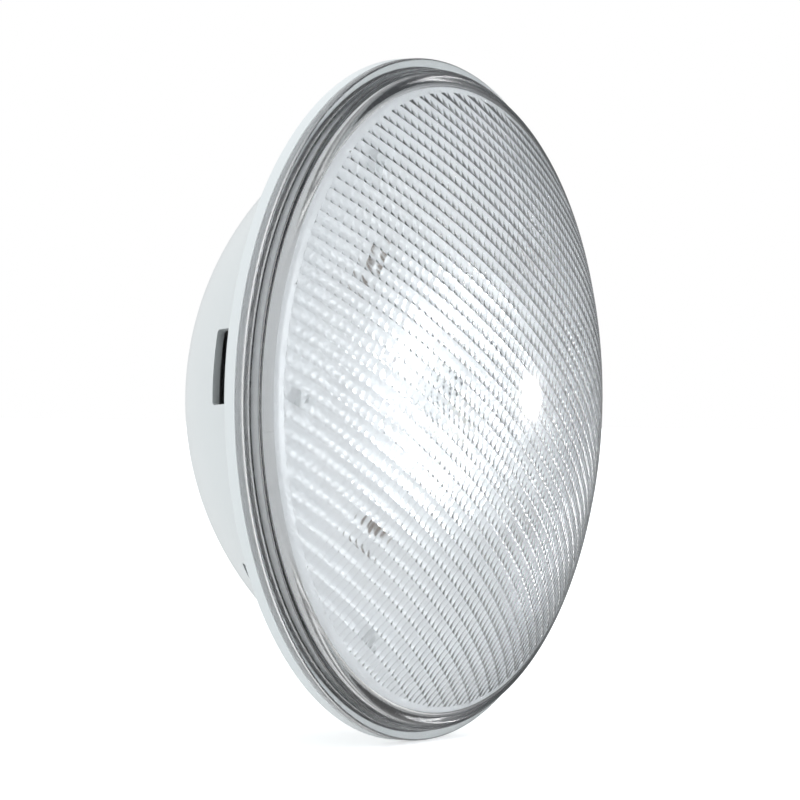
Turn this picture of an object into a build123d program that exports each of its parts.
from build123d import *
import os
from math import asin, ceil, cos, degrees, radians, sin, sqrt, tan

# A round underwater pool lamp: a clear fluted lens, a flooded white housing with cooling slots,
# and between them a cast heat sink that carries the lighting board and seals in the driver.
#
# Every piece is built in the lamp's own axes: +Z along the beam, +Y up, and z = 0 in the plane
# where the lens's flange meets the housing's flange. place() turns the finished lamp so that it
# looks along -Y with +Z up. All sizes are in millimetres, all angles in degrees.

# ---- overall sizes ----
RIM_RADIUS = 89.0
LENS_HEIGHT = 31.1
HOUSING_DEPTH = 59.0

# ---- lens ----
LENS_FLANGE = 2.2
RIM_LAND = 2.8
STEP_HEIGHT = 5.2
STEP_LAND = 1.3
DOME_FOOT = 7.1
SHOULDER_ROUND = 2.5
LENS_SIDE_WALL = 3.7
LENS_WALL = 3.0
FLUTE_PITCH = 3.6
FLUTE_DEPTH = 0.3
FLUTE_ANGLE = 33.0

# ---- housing ----
HOUSING_FLANGE = 3.2
HOUSING_WALL = 2.6
SKIRT_INSET = 17.2
SKIRT_DEPTH = 14.6
WELD_LAND = 4.1
SLOT_COUNT = 7
SLOT_CLOCK = 173.4
SLOT_LENGTH = 19.0
SLOT_WIDTH = 7.0
SLOT_REAR = 20.2
SLOT_CORNER = 1.0
RIB_LENGTH = 9.0
RIB_HEIGHT = 2.5
RIB_THICKNESS = 2.0
BOSS_RADIUS = 21.0
BOSS_HEIGHT = 3.4
BOSS_WALL = 5.4
BARRIER_LENGTH = 18.0
BARRIER_THICKNESS = 2.4
BARRIER_HEIGHT = 5.0

# ---- rim seal ----
SEAL_WIDTH = 1.8
SEAL_HEIGHT = 1.2
SEAL_EDGE = 0.8

# ---- heat sink ----
RIM_PLATE = 1.4
PLATFORM_HEIGHT = 2.0
FIN_COUNT = 14
FIN_THICKNESS = 2.0
FIN_DEPTH = 11.0
FIN_TAPER = 8.0
CUP_BORE = 31.0
CUP_WALL = 3.0
CUP_DEPTH = 28.0
CUP_SEAL_WIDTH = 1.4
CUP_SEAL_HEIGHT = 1.0
LUG_RADIUS = 4.0
LUG_HEIGHT = 11.0
LUG_COUNT = 4

# ---- lighting board and reflector ----
PAD_THICKNESS = 0.4
BOARD_THICKNESS = 1.6
BOARD_EDGE = 8.0
REFLECTOR_THICKNESS = 1.2
REFLECTOR_LAP = 6.0
BOARD_SCREWS = 6
EMITTER_SIDE = 5.0
EMITTER_BASE = 0.9
EMITTER_LENS = 2.0
EMITTER_HEIGHT = 1.6
INNER_RING_RADIUS = 17.0
INNER_RING_COUNT = 6
OUTER_RING_RADIUS = 27.0
OUTER_RING_COUNT = 12
RESISTOR_RING_RADIUS = 48.0
RESISTOR_GROUPS = 4
CONNECTOR = (7.0, 5.0, 3.2)
CONNECTOR_OFFSET = 9.5

# ---- driver ----
DRIVER_STANDOFF = 10.6
DRIVER_BOARD_RADIUS = 29.0
STANDOFF_RADIUS = 3.0
STANDOFF_COUNT = 3
STANDOFF_CIRCLE = 24.5
COVER_THICKNESS = 3.0

# ---- wires ----
FEED_RADIUS = 0.9
FEED_SPACING = 2.8
FEED_HOLE = 4.0
FEED_BEND = 2.0
LEAD_RADIUS = 1.5
LEAD_OFFSET = 9.0
GROMMET_WALL = 1.5
GROMMET_LIP = 2.0

# ---- terminals ----
TERMINAL_OFFSET = 12.0
POST_RADIUS = 3.0
COLLAR_RADIUS = 5.0
COLLAR_HEIGHT = 2.0
POST_TAIL = 12.0
NUT_FLATS = 10.0
NUT_HEIGHT = 3.2
LUG_PLATE = 0.8
LUG_RING = 5.5
BARREL_OFFSET = 8.4
BARREL_WALL = 0.6
BARREL_LENGTH = 6.0
SCREW_RADIUS = 1.95
SCREW_LENGTH = 8.0
SCREW_HEAD_RADIUS = 4.0
SCREW_HEAD_HEIGHT = 2.8
SCREW_HEAD_EDGE = 0.7
DRIVE_SLOT_WIDTH = 1.0
DRIVE_SLOT_DEPTH = 1.3
WASHER_RADIUS = 5.0
WASHER_THICKNESS = 1.0

# ---- small fasteners ----
FIXING_RADIUS = 1.2
FIXING_HEAD_RADIUS = 2.75
FIXING_HEAD_HEIGHT = 1.6
FIXING_SOCKET = 1.25

# ---- clearances ----
RUNNING = 0.05
SLIP = 0.1
LOCATING = 0.3
EDGE_BREAK = 0.4

# ---- sizes that follow from those above ----
STEP_RADIUS = RIM_RADIUS - RIM_LAND
DOME_RADIUS = STEP_RADIUS - STEP_LAND
LENS_BORE = DOME_RADIUS - LENS_SIDE_WALL
DOME_RISE = LENS_HEIGHT - DOME_FOOT
DOME_SPHERE = (DOME_RADIUS**2 + DOME_RISE**2) / (2 * DOME_RISE)
DOME_CENTRE = LENS_HEIGHT - DOME_SPHERE

COUNTERBORE = RIM_RADIUS - WELD_LAND
PLATE_RADIUS = COUNTERBORE - LOCATING
SEAL_MID = PLATE_RADIUS - SEAL_EDGE - SEAL_WIDTH / 2
BOSS_FOOT = HOUSING_DEPTH - BOSS_HEIGHT
BOSS_INSIDE = HOUSING_DEPTH - BOSS_WALL

# The dome is a sphere through the skirt's end and the boss's foot, and the skirt is the cone
# that touches it there.
SKIRT_END = RIM_RADIUS - SKIRT_INSET
FOOT_REACH = BOSS_FOOT**2 + BOSS_RADIUS**2
SKIRT_REACH = SKIRT_DEPTH**2 + SKIRT_END**2
HOUSING_CENTRE = (FOOT_REACH - SKIRT_REACH) / (2 * (SKIRT_DEPTH - BOSS_FOOT))
HOUSING_SPHERE = sqrt(BOSS_RADIUS**2 + (HOUSING_CENTRE + BOSS_FOOT) ** 2)
SKIRT_TILT = asin((HOUSING_CENTRE + SKIRT_DEPTH) / HOUSING_SPHERE)
SKIRT_RADIUS = SKIRT_END + (SKIRT_DEPTH - HOUSING_FLANGE) * tan(SKIRT_TILT)
SKIRT_BORE = SKIRT_RADIUS - HOUSING_WALL / cos(SKIRT_TILT)
SLOT_FRONT = SLOT_REAR - SLOT_WIDTH

REFLECTOR_RADIUS = LENS_BORE - LOCATING
PLATFORM_RADIUS = REFLECTOR_RADIUS - REFLECTOR_THICKNESS - LOCATING
BOARD_RADIUS = PLATFORM_RADIUS - BOARD_EDGE
PAD_TOP = PLATFORM_HEIGHT + PAD_THICKNESS
BOARD_TOP = PAD_TOP + BOARD_THICKNESS
REFLECTOR_TOP = BOARD_TOP + REFLECTOR_THICKNESS
BOARD_SCREW_CIRCLE = BOARD_RADIUS - REFLECTOR_LAP / 2
FIXING_HOLE = FIXING_RADIUS + RUNNING

CUP_RADIUS = CUP_BORE + CUP_WALL
LUG_CIRCLE = CUP_RADIUS + LUG_RADIUS - 1.0
DRIVER_FRONT = -RIM_PLATE - DRIVER_STANDOFF
DRIVER_REAR = DRIVER_FRONT - BOARD_THICKNESS
COVER_REAR = -CUP_DEPTH - COVER_THICKNESS
GROMMET_RADIUS = LEAD_RADIUS + GROMMET_WALL

POST_HOLE = POST_RADIUS + SLIP
TERMINAL_BORE = SCREW_RADIUS + RUNNING
COLLAR_REAR = -HOUSING_DEPTH - COLLAR_HEIGHT
WASHER_FRONT = COLLAR_REAR - LOCATING
WASHER_REAR = WASHER_FRONT - WASHER_THICKNESS
HEAD_FRONT = WASHER_REAR - SLIP
# the tail of a post goes no further than half way to the driver's cover
POST_END = min(POST_TAIL, (HOUSING_DEPTH + COVER_REAR) / 2)
LUG_REAR = -BOSS_INSIDE + LUG_PLATE
NUT_FRONT = LUG_REAR + NUT_HEIGHT


# ---- helpers ----
def outline(*edges):
    """Close a chain of edges, drawn as (radius, height), into a face."""
    return make_face(list(edges))


def corners_at(face, *places):
    """The corners of an outline that lie at the given (radius, height) places."""
    picked = []
    for r, z in places:
        picked.append(min(face.vertices(), key=lambda v: (v.X - r) ** 2 + (v.Y - z) ** 2))
    return picked


def turned(face):
    """Turn an outline about the lamp's axis."""
    return revolve(Plane.XZ * face, Axis.Z)


def ring(inner, outer, low, high):
    """A plain ring about the lamp's axis, or a disc where inner is 0."""
    body = Pos(0, 0, low) * Cylinder(outer, high - low, align=(Align.CENTER, Align.CENTER, Align.MIN))
    if inner > 0:
        body -= rod(inner, low - 1, high + 1)
    return body


def rod(radius, low, high, x=0.0, y=0.0):
    """A round bar along the lamp's axis, from one height to another."""
    return Pos(x, y, low) * Cylinder(radius, high - low, align=(Align.CENTER, Align.CENTER, Align.MIN))


def block(size, x, y, low):
    """A box standing on the given height, centred on x and y."""
    return Pos(x, y, low) * Box(*size, align=(Align.CENTER, Align.CENTER, Align.MIN))


def around(count, radius, clock=0.0):
    """Places evenly spaced on a circle, each turned to face outwards."""
    return [Rot(0, 0, clock + 360 * i / count) * Pos(radius, 0, 0) for i in range(count)]


def fixing(length):
    """A small cap screw: its head's underside is at z = 0 and its shank runs down."""
    head = rod(FIXING_HEAD_RADIUS, 0, FIXING_HEAD_HEIGHT)
    socket = extrude(RegularPolygon(FIXING_SOCKET, 6), FIXING_HEAD_HEIGHT)
    socket = Pos(0, 0, FIXING_HEAD_HEIGHT * 0.4) * socket
    return head + rod(FIXING_RADIUS, -length, 0) - socket


# ---- lens ----
def flute_roll():
    """The inside of the lens's dome: one toothed outline turned about a crosswise axis.

    Parallel flutes on a sphere are circles about an axis through the sphere's centre, so
    turning a row of small ridges about that axis gives all of them at once.
    """
    sphere = DOME_SPHERE - LENS_WALL
    count = ceil(LENS_BORE / FLUTE_PITCH)
    edge = (count + 0.5) * FLUTE_PITCH
    floor = sphere - 3 * LENS_HEIGHT
    points = [(-edge, floor), (-edge, sqrt(sphere**2 - edge**2))]
    for k in range(-count, count + 1):
        ridge = k * FLUTE_PITCH
        root = ridge + FLUTE_PITCH / 2
        points.append((ridge, sqrt(sphere**2 - ridge**2) - FLUTE_DEPTH))
        points.append((root, sqrt(sphere**2 - root**2)))
    points.append((edge, floor))
    turn = radians(FLUTE_ANGLE)
    across = Vector(sin(turn), cos(turn), 0)
    along = Vector(cos(turn), -sin(turn), 0)
    frame = Plane(origin=(0, 0, DOME_CENTRE), x_dir=across, z_dir=along)
    axis = Axis((0, 0, DOME_CENTRE), across)
    half_sweep = degrees(asin(LENS_BORE / sphere)) + 8
    face = (frame * Polygon(*points, align=None)).rotate(axis, -half_sweep)
    return revolve(face, axis, 2 * half_sweep)


def front_lens():
    """The clear lens: flange, step, side wall and dome, with the flutes inside."""
    crown = (0, LENS_HEIGHT)
    foot = (DOME_RADIUS, DOME_FOOT)
    half = asin(DOME_RADIUS / DOME_SPHERE) / 2
    middle = (DOME_SPHERE * sin(half), DOME_CENTRE + DOME_SPHERE * cos(half))
    face = outline(
        Line((0, 0), (RIM_RADIUS, 0)),
        Line((RIM_RADIUS, 0), (RIM_RADIUS, LENS_FLANGE)),
        Line((RIM_RADIUS, LENS_FLANGE), (STEP_RADIUS, LENS_FLANGE)),
        Line((STEP_RADIUS, LENS_FLANGE), (STEP_RADIUS, STEP_HEIGHT)),
        Line((STEP_RADIUS, STEP_HEIGHT), (DOME_RADIUS, STEP_HEIGHT)),
        Line((DOME_RADIUS, STEP_HEIGHT), foot),
        ThreePointArc(foot, middle, crown),
        Line(crown, (0, 0)),
    )
    face = fillet(corners_at(face, foot), SHOULDER_ROUND)
    edges = corners_at(face, (RIM_RADIUS, LENS_FLANGE), (STEP_RADIUS, STEP_HEIGHT))
    face = chamfer(edges, EDGE_BREAK)
    inside = rod(LENS_BORE, -1, LENS_HEIGHT) & flute_roll()
    groove = ring(SEAL_MID - SEAL_WIDTH / 2, SEAL_MID + SEAL_WIDTH / 2, -1, SEAL_HEIGHT)
    return turned(face) - inside - groove


def rim_seal():
    """The seal squeezed into the lens's groove by the heat sink's rim."""
    half = SEAL_WIDTH / 2 - SLIP
    return ring(SEAL_MID - half, SEAL_MID + half, 0, SEAL_HEIGHT)


# ---- housing ----
def dome_outline(inset, floor, boss_radius=None):
    """Half outline of skirt and dome, inset by a wall and closed by a flat at the floor.

    Where a boss radius is given, the dome stops there and a straight side runs on to the floor.
    """
    radius = HOUSING_SPHERE - inset
    top_radius = SKIRT_RADIUS - inset / cos(SKIRT_TILT)
    start = (radius * cos(SKIRT_TILT), HOUSING_CENTRE - radius * sin(SKIRT_TILT))
    if boss_radius is None:
        end = (sqrt(radius**2 - (floor - HOUSING_CENTRE) ** 2), floor)
    else:
        end = (boss_radius, HOUSING_CENTRE - sqrt(radius**2 - boss_radius**2))
    half = (SKIRT_TILT + asin((HOUSING_CENTRE - end[1]) / radius)) / 2
    middle = (radius * cos(half), HOUSING_CENTRE - radius * sin(half))
    edges = [
        Line((0, 0), (top_radius, 0)),
        Line((top_radius, 0), (top_radius, -HOUSING_FLANGE)),
        Line((top_radius, -HOUSING_FLANGE), start),
        ThreePointArc(start, middle, end),
    ]
    if boss_radius is not None:
        edges.append(Line(end, (boss_radius, floor)))
    edges.append(Line((end[0], floor), (0, floor)))
    edges.append(Line((0, floor), (0, 0)))
    return outline(*edges)


def skirt_rib():
    """Outline of one stiffening rib inside the skirt, half sunk into the wall."""
    run = RIB_LENGTH * sin(SKIRT_TILT)
    fall = RIB_LENGTH * cos(SKIRT_TILT)
    wall = SKIRT_BORE + HOUSING_WALL / 2
    face = SKIRT_BORE - RIB_HEIGHT
    return Polygon(
        (wall, -HOUSING_FLANGE),
        (wall - run, -HOUSING_FLANGE - fall),
        (face - run, -HOUSING_FLANGE - fall),
        (face, -HOUSING_FLANGE),
        align=None,
    )


def housing_shell():
    """The white moulding as one shape: flange, slotted dome, inner ribs and terminal boss."""
    flange = Pos(RIM_RADIUS / 2, -HOUSING_FLANGE / 2) * Rectangle(RIM_RADIUS, HOUSING_FLANGE)
    flange = chamfer(corners_at(flange, (RIM_RADIUS, -HOUSING_FLANGE)), EDGE_BREAK)
    body = turned(flange) + turned(dome_outline(0, -HOUSING_DEPTH, BOSS_RADIUS))
    cavity = turned(dome_outline(HOUSING_WALL, -BOSS_INSIDE))
    body -= cavity
    body -= rod(COUNTERBORE, -RIM_PLATE, 1)
    slot = Rectangle(SLOT_LENGTH, SLOT_WIDTH)
    slot = extrude(fillet(slot.vertices(), SLOT_CORNER), SKIRT_RADIUS / 2)
    slot = Pos(0, 0, -(SLOT_FRONT + SLOT_REAR) / 2) * (Plane.YZ * slot)
    for spot in around(SLOT_COUNT, SKIRT_RADIUS * 0.7, SLOT_CLOCK):
        body -= spot * slot
    rib = Plane.XZ * skirt_rib()
    rib = extrude(rib, RIB_THICKNESS / 2, both=True)
    for spot in around(SLOT_COUNT, 0, SLOT_CLOCK + 180 / SLOT_COUNT):
        body += spot * rib
    barrier = block((BARRIER_LENGTH, BARRIER_THICKNESS, BARRIER_HEIGHT + 1), 0, 0, 0)
    barrier = chamfer(barrier.edges().filter_by(Axis.Z), EDGE_BREAK)
    body += Pos(0, 0, -HOUSING_DEPTH - BARRIER_HEIGHT) * barrier
    for side in (1, -1):
        body -= rod(POST_HOLE, -HOUSING_DEPTH - 1, -BOSS_INSIDE + 1, y=side * TERMINAL_OFFSET)
    return body


def housing_flange():
    """The front of the white moulding: its flange and skirt, down to the slots' front edges."""
    return housing_shell() & rod(RIM_RADIUS + 1, -SLOT_FRONT, 1)


def housing_webs():
    """The seven webs of the white moulding that stand between its slots."""
    return (housing_shell() & rod(RIM_RADIUS, -SLOT_REAR, -SLOT_FRONT)).solids()


def rear_housing():
    """The rear of the white moulding: the bowl behind the slots, with the terminal boss."""
    return housing_shell() & rod(RIM_RADIUS, -HOUSING_DEPTH - BARRIER_HEIGHT - 1, -SLOT_REAR)


# ---- heat sink and driver cup ----
def heat_sink():
    """The cast plate that seals the lamp: platform in front, fins and driver cup behind."""
    body = ring(0, PLATE_RADIUS, -RIM_PLATE, 0) + ring(0, PLATFORM_RADIUS, 0, PLATFORM_HEIGHT)
    body += ring(CUP_BORE, CUP_RADIUS, -CUP_DEPTH, -RIM_PLATE)
    fin_outer = SKIRT_BORE - LOCATING - 5
    fin = Polygon(
        (CUP_BORE + 1, -RIM_PLATE),
        (fin_outer, -RIM_PLATE),
        (fin_outer, -RIM_PLATE - 2),
        (fin_outer - FIN_TAPER, -RIM_PLATE - FIN_DEPTH),
        (CUP_BORE + 1, -RIM_PLATE - FIN_DEPTH),
        align=None,
    )
    fin = extrude(Plane.XZ * fin, FIN_THICKNESS / 2, both=True)
    for spot in around(FIN_COUNT, 0):
        body += spot * fin
    for spot in around(LUG_COUNT, LUG_CIRCLE, 45):
        body += spot * rod(LUG_RADIUS, -CUP_DEPTH, -CUP_DEPTH + LUG_HEIGHT)
    for spot in around(STANDOFF_COUNT, STANDOFF_CIRCLE, 90):
        body += spot * rod(STANDOFF_RADIUS, DRIVER_FRONT, -RIM_PLATE)
    groove = cup_seal_low()
    body -= ring(groove, groove + CUP_SEAL_WIDTH, -CUP_DEPTH - 1, -CUP_DEPTH + CUP_SEAL_HEIGHT)
    for spot in around(LUG_COUNT, LUG_CIRCLE, 45):
        body -= spot * rod(FIXING_HOLE, -CUP_DEPTH - 1, -CUP_DEPTH + LUG_HEIGHT - 2)
    for spot in around(STANDOFF_COUNT, STANDOFF_CIRCLE, 90):
        body -= spot * rod(FIXING_HOLE, DRIVER_FRONT - 1, DRIVER_FRONT + 6)
    for spot in around(BOARD_SCREWS, BOARD_SCREW_CIRCLE):
        body -= spot * rod(FIXING_HOLE, PLATFORM_HEIGHT - board_thread(), PLATFORM_HEIGHT + 1)
    return body - rod(FEED_HOLE, -RIM_PLATE - 1, PLATFORM_HEIGHT + 1)


def cup_seal_low():
    """Inner radius of the seal groove, centred in the cup's wall."""
    return CUP_BORE + (CUP_WALL - CUP_SEAL_WIDTH) / 2


def board_thread():
    """Depth of the board screws' blind holes, which leave the plate sealed behind."""
    return (PLATFORM_HEIGHT + RIM_PLATE) * 0.8


def cup_seal():
    """The seal between the driver cup and its cover."""
    low = cup_seal_low() + RUNNING
    high = cup_seal_low() + CUP_SEAL_WIDTH - RUNNING
    return ring(low, high, -CUP_DEPTH, -CUP_DEPTH + CUP_SEAL_HEIGHT)


def driver_cover():
    """The plastic lid of the driver cup, with four ears and two cable holes."""
    body = rod(CUP_RADIUS + LOCATING, COVER_REAR, -CUP_DEPTH)
    for spot in around(LUG_COUNT, LUG_CIRCLE, 45):
        body += spot * rod(LUG_RADIUS, COVER_REAR, -CUP_DEPTH)
    for spot in around(LUG_COUNT, LUG_CIRCLE, 45):
        body -= spot * rod(FIXING_HOLE + SLIP, COVER_REAR - 1, -CUP_DEPTH + 1)
    for side in (1, -1):
        body -= rod(GROMMET_RADIUS, COVER_REAR - 1, -CUP_DEPTH + 1, y=side * LEAD_OFFSET)
    return body


def cover_screws():
    """Four screws that hold the cover to the cup's lugs."""
    screw = Pos(0, 0, COVER_REAR) * Rot(180, 0, 0) * fixing(COVER_THICKNESS + LUG_HEIGHT - 4)
    return [spot * screw for spot in around(LUG_COUNT, LUG_CIRCLE, 45)]


# ---- lighting board ----
def thermal_pad():
    """The soft sheet, inside the ring of screws, that carries the board's heat away."""
    return ring(FEED_HOLE + 1, BOARD_SCREW_CIRCLE - FIXING_HEAD_RADIUS, PLATFORM_HEIGHT, PAD_TOP)


def light_board():
    """The white metal-backed board that carries the emitters."""
    body = ring(FEED_HOLE + SLIP, BOARD_RADIUS, PAD_TOP, BOARD_TOP)
    for spot in around(BOARD_SCREWS, BOARD_SCREW_CIRCLE):
        body -= spot * rod(FIXING_HOLE + SLIP, PAD_TOP - 1, BOARD_TOP + 1)
    return body


def reflector():
    """The white ring that closes the gap between the board and the lens's side wall."""
    body = ring(BOARD_RADIUS - REFLECTOR_LAP, REFLECTOR_RADIUS, BOARD_TOP, REFLECTOR_TOP)
    body += ring(REFLECTOR_RADIUS - REFLECTOR_THICKNESS, REFLECTOR_RADIUS, 0, BOARD_TOP)
    for spot in around(BOARD_SCREWS, BOARD_SCREW_CIRCLE):
        body -= spot * rod(FIXING_HOLE + SLIP, BOARD_TOP - 1, REFLECTOR_TOP + 1)
    return body


def board_screws():
    """Screws that clamp reflector, board and pad onto the platform."""
    reach = REFLECTOR_TOP - PLATFORM_HEIGHT + board_thread() - LOCATING
    screw = Pos(0, 0, REFLECTOR_TOP) * fixing(reach)
    return [spot * screw for spot in around(BOARD_SCREWS, BOARD_SCREW_CIRCLE)]


def emitter_places():
    """Where the emitters stand: an inner and an outer ring."""
    inner = around(INNER_RING_COUNT, INNER_RING_RADIUS, 180 / INNER_RING_COUNT)
    outer = around(OUTER_RING_COUNT, OUTER_RING_RADIUS, 180 / OUTER_RING_COUNT)
    return inner, outer


def emitter_bases(places):
    """The emitters' square ceramic packages."""
    base = block((EMITTER_SIDE, EMITTER_SIDE, EMITTER_BASE), 0, 0, BOARD_TOP)
    return [spot * base for spot in places]


def emitter_lenses(places):
    """The emitters' clear lenses, seated on their packages."""
    top = BOARD_TOP + EMITTER_BASE
    upright = (Align.CENTER, Align.CENTER, Align.MIN)
    lens = Pos(0, 0, top) * Cone(EMITTER_LENS, EMITTER_LENS / 2, EMITTER_HEIGHT, align=upright)
    return [spot * lens for spot in places]


def resistors():
    """Small resistors in short rows outside the outer ring of emitters."""
    body = []
    for spot in around(RESISTOR_GROUPS, RESISTOR_RING_RADIUS, 45):
        for row in (-1, 0, 1):
            body.append(spot * block((3.2, 1.6, 0.6), 0, row * 3.0, BOARD_TOP))
    return body


def board_connector():
    """The plug block where the feed wires meet the lighting board."""
    body = block(CONNECTOR, 0, -CONNECTOR_OFFSET, BOARD_TOP)
    body = chamfer(body.edges().filter_by(Axis.Z), EDGE_BREAK)
    height = feed_height()
    mouth = CONNECTOR[1] / 2
    for side in (1, -1):
        hole = Cylinder(FEED_RADIUS + RUNNING, mouth, align=(Align.CENTER, Align.CENTER, Align.MIN))
        body -= Pos(side * FEED_SPACING / 2, -CONNECTOR_OFFSET, height) * Rot(-90, 0, 0) * hole
    return body


def feed_height():
    """Height at which the feed wires enter their connector."""
    return BOARD_TOP + CONNECTOR[2] / 2


def feed_wire(side):
    """One wire from the driver, through the plate's middle, to the lighting board."""
    x = side * FEED_SPACING / 2
    height = feed_height()
    bend = height - FEED_BEND
    middle = FEED_BEND * (1 - cos(radians(45)))
    path = Wire([
        Line((x, 0, DRIVER_FRONT), (x, 0, bend)),
        ThreePointArc((x, 0, bend), (x, -middle, height - middle), (x, -FEED_BEND, height)),
        Line((x, -FEED_BEND, height), (x, -CONNECTOR_OFFSET + SLIP, height)),
    ])
    return sweep(Plane(origin=path @ 0, z_dir=path % 0) * Circle(FEED_RADIUS), path=path)


def feed_grommet():
    """The rubber plug that seals the feed wires into the plate."""
    body = rod(FEED_HOLE, -RIM_PLATE, PLATFORM_HEIGHT)
    for side in (1, -1):
        body -= rod(FEED_RADIUS, -RIM_PLATE - 1, PLATFORM_HEIGHT + 1, x=side * FEED_SPACING / 2)
    return body


# ---- driver ----
def driver_board():
    """The round circuit board on its three standoffs."""
    body = rod(DRIVER_BOARD_RADIUS, DRIVER_REAR, DRIVER_FRONT)
    for spot in around(STANDOFF_COUNT, STANDOFF_CIRCLE, 90):
        body -= spot * rod(FIXING_HOLE + SLIP, DRIVER_REAR - 1, DRIVER_FRONT + 1)
    return body


def driver_screws():
    """Three screws that hold the driver board to its standoffs."""
    screw = Pos(0, 0, DRIVER_REAR) * Rot(180, 0, 0) * fixing(BOARD_THICKNESS + 5)
    return [spot * screw for spot in around(STANDOFF_COUNT, STANDOFF_CIRCLE, 90)]


def hang(body):
    """Turn a component built upwards from z = 0 so that it stands on the board's rear face."""
    return Pos(0, 0, DRIVER_REAR) * Rot(180, 0, 0) * body


def capacitor(x, y):
    """An electrolytic capacitor with its crimped foot and scored top."""
    can = Rectangle(5.0, 12.5, align=Align.MIN) - Pos(4.6, 1.6) * Rectangle(0.8, 0.8, align=Align.MIN)
    can = turned(chamfer(corners_at(can, (5.0, 12.5)), EDGE_BREAK))
    score = block((7.0, 0.4, 0.4), 0, 0, 12.3)
    return hang(Pos(x, y, 0) * (can - score - Rot(0, 0, 90) * score))


def rectifier():
    """The bridge rectifier: a slab on four legs."""
    slab = block((15.0, 4.0, 9.5), 0, 0, 1.5)
    slab = chamfer(slab.edges().filter_by(Axis.Z), 0.6)
    for x in (-5.7, -1.9, 1.9, 5.7):
        slab += block((0.9, 0.7, 2.0), x, 0, 0)
    return hang(Pos(0, -19.5, 0) * slab)


def inductor_core():
    """The inductor's ferrite bobbin."""
    spool = Rectangle(7, 9, align=Align.MIN) - Pos(3.5, 1.5) * Rectangle(4, 6, align=Align.MIN)
    return hang(Pos(14, 1, 0) * turned(spool))


def inductor_winding():
    """The copper winding in the bobbin's waist."""
    return hang(Pos(14, 1, 0) * ring(3.6, 6.2, 1.7, 7.3))


def control_chip():
    """The driver's controller with its eight legs."""
    chip = block((5.0, 4.0, 1.5), 0, 0, 0.2)
    for x in (-1.9, -0.63, 0.63, 1.9):
        for side in (1, -1):
            chip += block((0.4, 1.4, 0.5), x, side * 2.4, 0)
    return hang(Pos(3, 19, 0) * chip)


def switch_transistor():
    """The power switch lying on its tab."""
    case = block((6.6, 6.2, 2.2), 0, 0, 0.1)
    tab = block((5.4, 2.4, 0.6), 0, 3.6, 0)
    legs = block((0.8, 2.8, 0.5), -2.3, -4.2, 0) + block((0.8, 2.8, 0.5), 2.3, -4.2, 0)
    return hang(Pos(13, -14, 0) * (case + tab + legs))


def varistor():
    """The surge absorber: a thick disc on two legs."""
    disc = Pos(0, 0, 6.2) * Rot(90, 0, 0) * Cylinder(4.2, 3.5)
    disc = chamfer(disc.edges().filter_by(GeomType.CIRCLE), 0.8)
    for x in (-2.5, 2.5):
        disc += block((0.7, 0.7, 4.5), x, 0, 0)
    return hang(Pos(14, 15, 0) * disc)


def fuse():
    """The supply fuse in its box."""
    case = block((8.4, 4.4, 7.6), 0, 0, 0)
    return hang(Pos(-9, 19.5, 0) * fillet(case.edges().filter_by(Axis.Z), 0.5))


def supply_lead():
    """The upper supply lead: from the driver board, through the cover, to the upper lug."""
    foot = (BARREL_OFFSET, TERMINAL_OFFSET, NUT_FRONT - 1)
    entry = (BARREL_OFFSET, TERMINAL_OFFSET, NUT_FRONT + 3)
    leave = (0, LEAD_OFFSET, COVER_REAR - GROMMET_LIP - 1)
    middle = (Vector(leave) + Vector(entry)) / 2
    first = TangentArc(leave, middle, tangent=(0, 0, -1))
    second = TangentArc(middle, entry, tangent=first % 1)
    path = Wire([Line((0, LEAD_OFFSET, DRIVER_REAR), leave), first, second, Line(entry, foot)])
    return sweep(Plane(origin=path @ 0, z_dir=path % 0) * Circle(LEAD_RADIUS), path=path)


def lead_grommets():
    """Two rubber grommets that seal the supply leads into the cover."""
    pair = []
    for side in (1, -1):
        body = rod(GROMMET_RADIUS, COVER_REAR, -CUP_DEPTH)
        body += rod(GROMMET_RADIUS + 1, COVER_REAR - GROMMET_LIP, COVER_REAR)
        body -= rod(LEAD_RADIUS, COVER_REAR - GROMMET_LIP - 1, -CUP_DEPTH + 1)
        pair.append(Pos(0, side * LEAD_OFFSET, 0) * body)
    return pair


# ---- terminals ----
def terminal_post():
    """The upper brass post: collar outside, shank through the boss, bore for the screw."""
    body = rod(COLLAR_RADIUS, COLLAR_REAR, -HOUSING_DEPTH)
    body = chamfer(body.edges().group_by(Axis.Z)[0], EDGE_BREAK)
    body += rod(POST_RADIUS, -HOUSING_DEPTH, COLLAR_REAR + COLLAR_HEIGHT + POST_END)
    body -= rod(TERMINAL_BORE, COLLAR_REAR - 1, HEAD_FRONT + SCREW_LENGTH + 2)
    return Pos(0, TERMINAL_OFFSET, 0) * body


def post_nut():
    """The upper hexagon nut that pulls the post into the boss."""
    nut = extrude(RegularPolygon(NUT_FLATS / 2, 6, major_radius=False), NUT_HEIGHT)
    nut = Pos(0, 0, LUG_REAR) * nut
    nut -= rod(POST_RADIUS + RUNNING, LUG_REAR - 1, NUT_FRONT + 1)
    return Pos(0, TERMINAL_OFFSET, 0) * nut


def lead_lug():
    """The upper cable lug: a ring under the nut and an upright crimp barrel."""
    outer = LEAD_RADIUS + RUNNING + BARREL_WALL
    plate = rod(LUG_RING, -BOSS_INSIDE, LUG_REAR)
    plate += block((BARREL_OFFSET, 2 * outer, LUG_PLATE), BARREL_OFFSET / 2, 0, -BOSS_INSIDE)
    barrel = rod(outer, -BOSS_INSIDE, LUG_REAR + BARREL_LENGTH, x=BARREL_OFFSET)
    barrel -= rod(LEAD_RADIUS + RUNNING, LUG_REAR, LUG_REAR + BARREL_LENGTH + 1, x=BARREL_OFFSET)
    body = plate + barrel - rod(POST_HOLE, -BOSS_INSIDE - 1, LUG_REAR + 1)
    return Pos(0, TERMINAL_OFFSET, 0) * body


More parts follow.
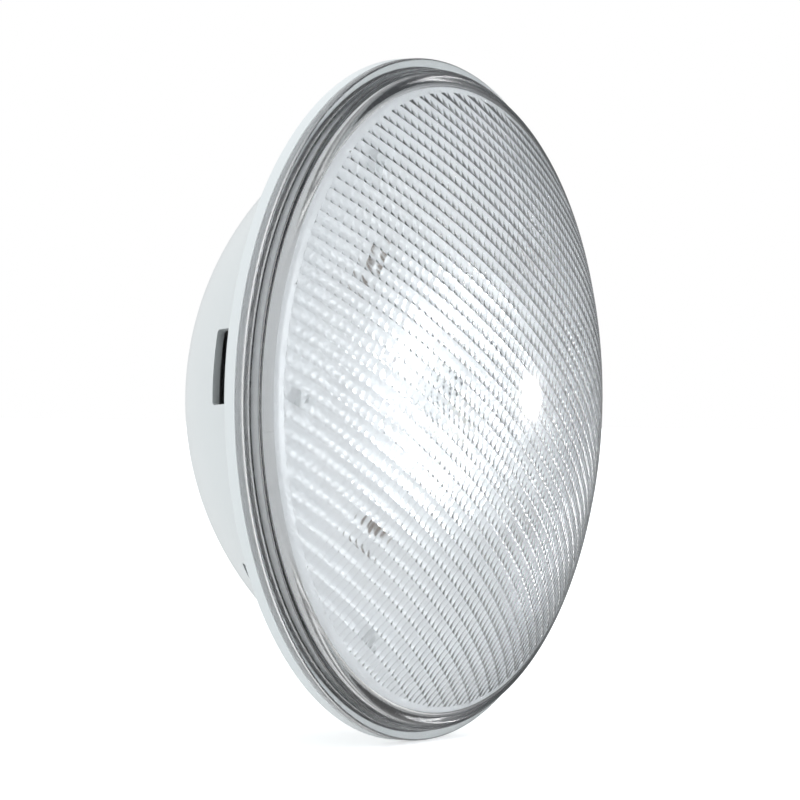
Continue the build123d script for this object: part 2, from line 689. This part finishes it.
def terminal_washer():
    """The upper clamp washer, held captive by its screw."""
    body = rod(WASHER_RADIUS, WASHER_REAR, WASHER_FRONT)
    body -= rod(SCREW_RADIUS + SLIP, WASHER_REAR - 1, WASHER_FRONT + 1)
    return Pos(0, TERMINAL_OFFSET, 0) * body


def terminal_screw():
    """The upper terminal screw: slotted head behind the washer, shank in the post."""
    head = rod(SCREW_HEAD_RADIUS, HEAD_FRONT - SCREW_HEAD_HEIGHT, HEAD_FRONT)
    head = chamfer(head.edges().group_by(Axis.Z)[0], SCREW_HEAD_EDGE)
    head += rod(SCREW_RADIUS, HEAD_FRONT, HEAD_FRONT + SCREW_LENGTH)
    rear = HEAD_FRONT - SCREW_HEAD_HEIGHT
    slot = block((2 * WASHER_RADIUS, DRIVE_SLOT_WIDTH, DRIVE_SLOT_DEPTH + 1), 0, 0, rear - 1)
    return Pos(0, TERMINAL_OFFSET, 0) * (head - Rot(0, 0, 25) * slot)


# ---- the lamp ----
def place(body):
    """Turn a piece, or each of a group, from the lamp's axes to its place in use."""
    upright = Rot(90, 0, 0)
    if isinstance(body, list):
        return Compound([upright * piece for piece in body])
    return upright * body


def lower(body):
    """The lower terminal's copy of an upper piece: half a turn about the lamp's axis."""
    return Rot(0, 0, 180) * body


inner_ring, outer_ring = emitter_places()
nodes = {
    "front_lens": front_lens(),
    "rim_seal": rim_seal(),
    "housing_flange": housing_flange(),
    "housing_webs": housing_webs(),
    "rear_housing": rear_housing(),
    "heat_sink": heat_sink(),
    "thermal_pad": thermal_pad(),
    "light_board": light_board(),
    "reflector_ring": reflector(),
    "board_screws": board_screws(),
    "emitter_bases_inner": emitter_bases(inner_ring),
    "emitter_bases_outer": emitter_bases(outer_ring),
    "emitter_lenses_inner": emitter_lenses(inner_ring),
    "emitter_lenses_outer": emitter_lenses(outer_ring),
    "board_resistors": resistors(),
    "board_connector": board_connector(),
    "feed_wire_left": feed_wire(-1),
    "feed_wire_right": feed_wire(1),
    "feed_grommet": feed_grommet(),
    "driver_board": driver_board(),
    "driver_screws": driver_screws(),
    "capacitor_input": capacitor(-15, 7),
    "capacitor_output": capacitor(-15, -7),
    "bridge_rectifier": rectifier(),
    "inductor_core": inductor_core(),
    "inductor_winding": inductor_winding(),
    "control_chip": control_chip(),
    "switch_transistor": switch_transistor(),
    "varistor": varistor(),
    "fuse": fuse(),
    "cup_seal": cup_seal(),
    "driver_cover": driver_cover(),
    "cover_screws": cover_screws(),
    "lead_grommets": lead_grommets(),
    "supply_lead_upper": supply_lead(),
    "supply_lead_lower": lower(supply_lead()),
    "lead_lug_upper": lead_lug(),
    "lead_lug_lower": lower(lead_lug()),
    "terminal_post_upper": terminal_post(),
    "terminal_post_lower": lower(terminal_post()),
    "post_nut_upper": post_nut(),
    "post_nut_lower": lower(post_nut()),
    "terminal_washer_upper": terminal_washer(),
    "terminal_washer_lower": lower(terminal_washer()),
    "terminal_screw_upper": terminal_screw(),
    "terminal_screw_lower": lower(terminal_screw()),
}

os.makedirs("parts", exist_ok=True)
for name, body in nodes.items():
    export_step(place(body), f"parts/{name}.step")
